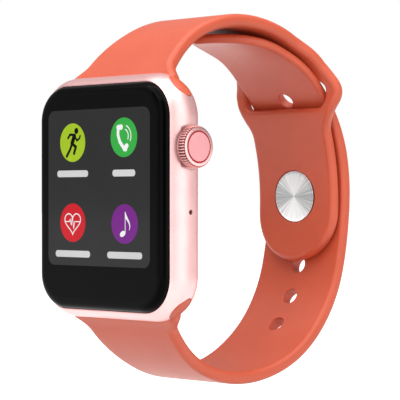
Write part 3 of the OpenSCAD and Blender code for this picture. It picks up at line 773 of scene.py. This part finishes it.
def lug(name, body, flip):
    """The bar in the case groove, with ends that follow the case's rounded corner."""
    loop = resample(lug_section(), 0.2)
    if signed_area(loop) < 0:
        loop = loop[::-1]
    out = outward(loop, False)
    wall = np.c_[np.zeros(len(out)), out]
    steps = 4
    verts, normals, rings, faces = [], [], [], []

    def add(x, p, normal):
        first = sum(len(v) for v in verts)
        verts.append(np.c_[x, p])
        normals.append(normal)
        return np.arange(first, first + len(p))

    for side in (-1, 1):
        for k in range(steps + 1)[::side]:
            phi = math.pi / 2 * k / steps
            p = loop - out * LUG_EDGE * (1 - math.cos(phi))
            x = side * (lug_end(p) - LUG_EDGE + LUG_EDGE * math.sin(phi))
            rings.append(add(x, p, wall * math.cos(phi) + case_normal(x, p, side) * math.sin(phi)))
    for a, b in zip(rings, rings[1:]):
        for i in range(len(a)):
            j = (i + 1) % len(a)
            faces.append((a[i], a[j], b[j], b[i]))
    for side, ring, end in ((-1, rings[0], verts[0]), (1, rings[-1], verts[-1])):
        made, tris, source = fill([end[:, 1:]], (0.3, 0.3), 0.12)
        index, new = match(source, ring)
        p = made[new]
        x = side * lug_end(p)
        index[new] = add(x, p, case_normal(x, p, side))
        for t in tris:
            faces.append(facing(made[t], index[t], side > 0))
    verts, normals = np.vstack(verts), unit(np.vstack(normals))
    if flip:
        verts[:, 2] *= -1
        normals[:, 2] *= -1
        faces = [face[::-1] for face in faces]
    make(name, place(verts), faces, rubber, body, normals, (body,))


lug("upper_strap_lug", "upper_strap", False)
lug("lower_strap_lug", "lower_strap", True)


# ---- clasp disc and crown ----

DISC_T = 0.75
DISC_PROUD = 0.15
DISC_EDGE = 0.22
DISC_CHAMFER = 0.08
# Small enough a radius to close a turned shape
AXIS = 0.0005
GRIP_TEETH = 44
GRIP_DEPTH = 0.26


def pin_matrix():
    """Local Z along the pin, towards the wrist; local Y up the strap."""
    y, z, head = upper.at(PIN_AT)
    inward = Vector((0, math.sin(head), -math.cos(head)))
    along = Vector((0, -math.cos(head), -math.sin(head)))
    m = Matrix.Identity(4)
    m.col[0].xyz = along.cross(inward)
    m.col[1].xyz = along
    m.col[2].xyz = inward
    m.translation = Vector(place([(0, float(y), float(z))])[0])
    return m


def lathe(profile, count, wave=None):
    """A turned shape about local Z from (radius, height) points: (points, faces)."""
    verts, faces = [], []
    for r, h in profile:
        for i in range(count):
            a = 2 * math.pi * i / count
            reach = r + wave(a, h) if wave else r
            verts.append((reach * math.cos(a), reach * math.sin(a), h))
    for k in range(len(profile) - 1):
        for i in range(count):
            j = (i + 1) % count
            faces.append((k * count + i, k * count + j, (k + 1) * count + j, (k + 1) * count + i))
    return np.array(verts), faces


def disc_profile():
    """From the middle of the disc's underside round its edge to the middle of its slightly domed face."""
    top = STRAP_T / 2 + DISC_PROUD
    under, flat = top - DISC_T, DISC_R - DISC_EDGE
    profile = [(AXIS, under), (DISC_R - DISC_CHAMFER, under), (DISC_R, under + DISC_CHAMFER)]
    for t in np.linspace(0, math.pi / 2, 7):
        profile.append((flat + DISC_EDGE * math.cos(t), top - DISC_EDGE + DISC_EDGE * math.sin(t)))
    rings = 12
    for k in range(1, rings + 1):
        r = flat * (1 - k / rings)
        profile.append((max(r, AXIS), top + 0.02 * (1 - (r / DISC_R) ** 2)))
    return profile


def clasp_disc():
    verts, faces = lathe(disc_profile(), 128)
    disc = make("clasp_disc_brushed", verts * MM, faces, brushed_disc(), "upper_strap",
                stands_for=("clasp_disc",))
    disc.matrix_world = pin_matrix()
    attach(disc, "upper_strap")
    disc.data.set_sharp_from_angle(angle=math.radians(35))


def crown():
    """The knob, turned from its base out to its rim, with a grip cut into its side."""
    low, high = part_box("crown_knob")
    r = (high.z - low.z) / 2 / MM
    base, front = low.x / MM, high.x / MM

    def grip(a, h):
        share = min(ease(base + 0.42, base + 0.62, h), 1 - ease(front - 0.22, front - 0.08, h))
        return float(share) * GRIP_DEPTH * (abs(math.cos(a * GRIP_TEETH / 2)) - 1.0)

    profile = [(1.3, base), (r - 1.05, base), (r - 0.75, base + 0.08), (r - 0.3, base + 0.36)]
    profile += [(r - 0.03, base + t) for t in np.linspace(0.45, front - base - 0.52, 9)]
    profile += [(r - 0.02, front - 0.45), (r - 0.04, front - 0.36), (r - 0.12, front - 0.24),
                (r - 0.3, front - 0.1), (r - 0.52, front - 0.03), (r - 0.72, front),
                (2.86, front), (2.85, front - 0.02), (2.85, front - 0.3)]
    verts, faces = lathe(profile, GRIP_TEETH * 10, grip)
    axis_y = (low.y + high.y) / 2 / MM + WRIST_DEPTH
    axis_z = (low.z + high.z) / 2 / MM
    verts = np.c_[verts[:, 2], axis_y + verts[:, 0], axis_z + verts[:, 1]]
    piece = make("crown_knurled", place(verts), faces, crown_metal(), "crown",
                 stands_for=("crown_knob",))
    piece.data.set_sharp_from_angle(angle=math.radians(60))


clasp_disc()
crown()


# ---- display ----

DISPLAY_Z = 1.75
DISPLAY_HALF = (13.75, 14.1)
ICON_R = 3.5
ICONS = {"run": (-6.9, 9.95), "call": (7.0, 10.6), "heart": (-6.85, -4.6), "music": (7.2, -4.7)}
ICON_COLOURS = {
    "run": (0.43, 0.64, 0.024),
    "call": (0.045, 0.46, 0.07),
    "heart": (0.70, 0.014, 0.026),
    "music": (0.21, 0.02, 0.28),
}
# The bar under each icon: how wide it is, and how high on the display it lies
LABELS = {"run": (8.6, 4.3), "call": (6.0, 4.3), "heart": (9.6, -10.25), "music": (9.2, -10.25)}
LABEL_HALF = 0.6


def flat_piece(name, shapes, layer, material):
    """Flat shapes on the glass, facing the front. A shape is a closed outline."""
    verts, faces = [], []
    for number, shape in enumerate(shapes):
        depth = GLASS_FRONT - 0.012 * layer - 0.0004 * number
        first = len(verts)
        outline = np.asarray(shape, float)
        if signed_area(outline) < 0:
            outline = outline[::-1]
        verts += [(x, depth, z) for x, z in outline]
        for t in geometry.tessellate_polygon([[Vector((x, z, 0)) for x, z in outline]]):
            corners = [outline[i] for i in t]
            faces.append([first + i for i in facing(corners, t, True)])
    make(name, place(verts), faces, material, "case")


def stroke(points, width, widths=None):
    """Closed outlines of a line with round ends through a few points, of one width or several."""
    p = np.asarray(points, float)
    w = np.full(len(p), width / 2) if widths is None else np.asarray(widths, float) / 2
    shapes = []
    for a, b, wa, wb in zip(p, p[1:], w, w[1:]):
        start = math.atan2(b[1] - a[1], b[0] - a[0]) + math.pi / 2
        shapes.append(np.vstack([arc(a, wa, start, start + math.pi, 9),
                                 arc(b, wb, start + math.pi, start + 2 * math.pi, 9)]))
    return shapes


def arc(centre, r, low, high, count=14):
    a = np.linspace(low, high, count)
    return np.c_[centre[0] + r * np.cos(a), centre[1] + r * np.sin(a)]


def runner():
    sign = [circle((0.30, 0.60), 0.16, 20)]
    sign += stroke([(0.14, 0.34), (-0.04, -0.04)], 0.27)
    sign += stroke([(0.10, 0.40), (-0.20, 0.42), (-0.36, 0.24)], 0.13)
    sign += stroke([(0.18, 0.34), (0.34, 0.10), (0.56, 0.22), (0.60, 0.34)], 0.11)
    sign += stroke([(0.0, -0.08), (0.26, -0.22), (0.12, -0.56)], 0.17)
    sign += stroke([(-0.04, -0.06), (-0.20, -0.36), (-0.46, -0.70)], 0.16)
    return sign


def handset():
    sign = stroke([(-0.42, 0.46), (-0.44, 0.14), (-0.30, -0.22), (-0.04, -0.50), (0.16, -0.62)], 0.19)
    sign += stroke([(-0.42, 0.50), (-0.20, 0.52)], 0.27)
    sign += stroke([(0.06, -0.58), (0.22, -0.44)], 0.27)
    for r in (0.36, 0.56):
        sign += stroke(arc((-0.02, 0.06), r, math.radians(-25), math.radians(68)), 0.06)
    return sign


def heart_trace():
    """A heart's outline, two lobes and a point, crossed by a pulse."""
    t = np.linspace(0, 2 * math.pi, 64)
    x = np.sin(t) ** 3
    z = (13 * np.cos(t) - 5 * np.cos(2 * t) - 2 * np.cos(3 * t) - np.cos(4 * t)) / 16
    sign = stroke(np.c_[0.62 * x, 0.60 * z + 0.02], 0.06)
    pulse = [(-0.58, 0.06), (-0.26, 0.06), (-0.19, 0.18), (-0.10, -0.12),
             (-0.02, 0.34), (0.08, -0.30), (0.16, 0.06), (0.58, 0.06)]
    return sign + stroke(pulse, 0.05)


def note():
    """A tilted oval head, a stem and a flag that thins out."""
    a = np.linspace(0, 2 * math.pi, 28, endpoint=False)
    tilt = math.radians(25)
    x, z = 0.22 * np.cos(a), 0.14 * np.sin(a)
    head = np.c_[-0.14 + x * math.cos(tilt) - z * math.sin(tilt),
                 -0.50 + x * math.sin(tilt) + z * math.cos(tilt)]
    stem = stroke([(0.05, -0.44), (0.05, 0.60)], 0.045)
    flag = [(0.06, 0.56), (0.11, 0.36), (0.24, 0.20), (0.36, 0.04), (0.40, -0.12), (0.36, -0.30)]
    return [head] + stem + stroke(flag, 0.08, [0.05, 0.16, 0.12, 0.08, 0.06, 0.03])


def display():
    """The lit area, the icons with their signs in units of the icon's radius, and the bars."""
    lit = rounded_box(DISPLAY_HALF[0], DISPLAY_Z - DISPLAY_HALF[1], DISPLAY_Z + DISPLAY_HALF[1], 1.6)
    flat_piece("display_area", [lit], 1, screen("screen_grey", (0.027, 0.027, 0.0278), 0.6))
    white = screen("screen_white", (0.85, 0.85, 0.85), 0.6)
    black = screen("screen_black", (0.004, 0.004, 0.004), 0.0)
    signs = {"run": runner(), "call": handset(), "heart": heart_trace(), "music": note()}
    for sign, shapes in signs.items():
        centre = np.array(ICONS[sign])
        colour = screen(f"screen_{sign}", ICON_COLOURS[sign], 0.45)
        flat_piece(f"icon_{sign}_disc", [circle(centre, ICON_R, 72)], 2, colour)
        ink = black if sign == "run" else white
        flat_piece(f"icon_{sign}_sign", [shape * ICON_R + centre for shape in shapes], 3, ink)
    bars = []
    for sign, (width, height) in LABELS.items():
        bars.append(rounded_box(width / 2, -LABEL_HALF, LABEL_HALF, 0.55) + [ICONS[sign][0], height])
    flat_piece("label_bars", bars, 3, screen("screen_label", (0.62, 0.62, 0.62), 0.6))


display()


# ---- stage, light and camera ----

FLOOR_HALF = 6.0
FLOOR_Z = -0.06
corners = [(x * FLOOR_HALF, y * FLOOR_HALF, FLOOR_Z) for x, y in ((-1, -1), (1, -1), (1, 1), (-1, 1))]
floor_mesh = bpy.data.meshes.new("floor")
floor_mesh.from_pydata(corners, [], [(0, 1, 2, 3)])
floor = bpy.data.objects.new("floor", floor_mesh)
bpy.context.scene.collection.objects.link(floor)

# The floor looks white, and lights the watch from below only a little
floor_look = Shader("pale_floor", Roughness=0.9, Base_Color=(0.5, 0.5, 0.5, 1), Emission_Color=(1, 1, 1, 1))
rays = floor_look.node("ShaderNodeLightPath").outputs
bright = floor_look.between(rays["Is Glossy Ray"], 0.1, 0.9)
floor_look.set("Emission Strength", floor_look.calc("MAXIMUM", rays["Is Camera Ray"], bright))
floor_mesh.materials.append(floor_look.mat)

world = bpy.data.worlds.new("studio")
bpy.context.scene.world = world
world.use_nodes = True
tree = world.node_tree
tree.nodes.clear()


def background(strength):
    n = tree.nodes.new("ShaderNodeBackground")
    n.inputs["Color"].default_value = (1, 1, 1, 1)
    n.inputs["Strength"].default_value = strength
    return n.outputs[0]


path = tree.nodes.new("ShaderNodeLightPath")
mix = tree.nodes.new("ShaderNodeMixShader")
sky = tree.nodes.new("ShaderNodeOutputWorld")
tree.links.new(path.outputs["Is Camera Ray"], mix.inputs[0])
tree.links.new(background(0.45), mix.inputs[1])
tree.links.new(background(1.0), mix.inputs[2])
tree.links.new(mix.outputs[0], sky.inputs[0])


def area(name, azimuth, elevation, distance, size, level):
    """A soft light that faces the watch. Azimuth 0 is in front of the screen, 90 at the crown side."""
    data = bpy.data.lights.new(name, "AREA")
    data.shape = "RECTANGLE"
    data.size, data.size_y = size
    data.energy = level * math.pi * size[0] * size[1]
    lamp = bpy.data.objects.new(name, data)
    bpy.context.scene.collection.objects.link(lamp)
    a, e = math.radians(azimuth), math.radians(elevation)
    back = Vector((math.sin(a) * math.cos(e), -math.cos(a) * math.cos(e), math.sin(e)))
    lamp.location = back * distance
    lamp.rotation_mode = "QUATERNION"
    lamp.rotation_quaternion = back.to_track_quat("Z", "Y")
    lamp.visible_camera = False


area("front_right", 27, 28, 0.9, (0.5, 1.3), 1.9)
area("right", 94, 8, 0.9, (0.8, 1.2), 1.55)
area("front_left", -45, 58, 0.9, (0.7, 0.6), 1.1)
area("top", 60, 78, 0.8, (1.2, 0.9), 2.4)

VIEW_AZIMUTH = math.radians(45.66)
camera_data = bpy.data.cameras.new("camera")
camera_data.sensor_width = 36
camera_data.lens = 166.5
camera_data.shift_y = -0.0015
camera_data.clip_start = 0.01
camera_data.clip_end = 50
camera = bpy.data.objects.new("camera", camera_data)
bpy.context.scene.collection.objects.link(camera)
camera.location = (0.2498, -0.2492, -0.00036)
camera.rotation_mode = "QUATERNION"
towards_camera = Vector((math.sin(VIEW_AZIMUTH), -math.cos(VIEW_AZIMUTH), 0))
camera.rotation_quaternion = towards_camera.to_track_quat("Z", "Y")
bpy.context.scene.camera = camera
bpy.context.scene.view_settings.view_transform = "Standard"
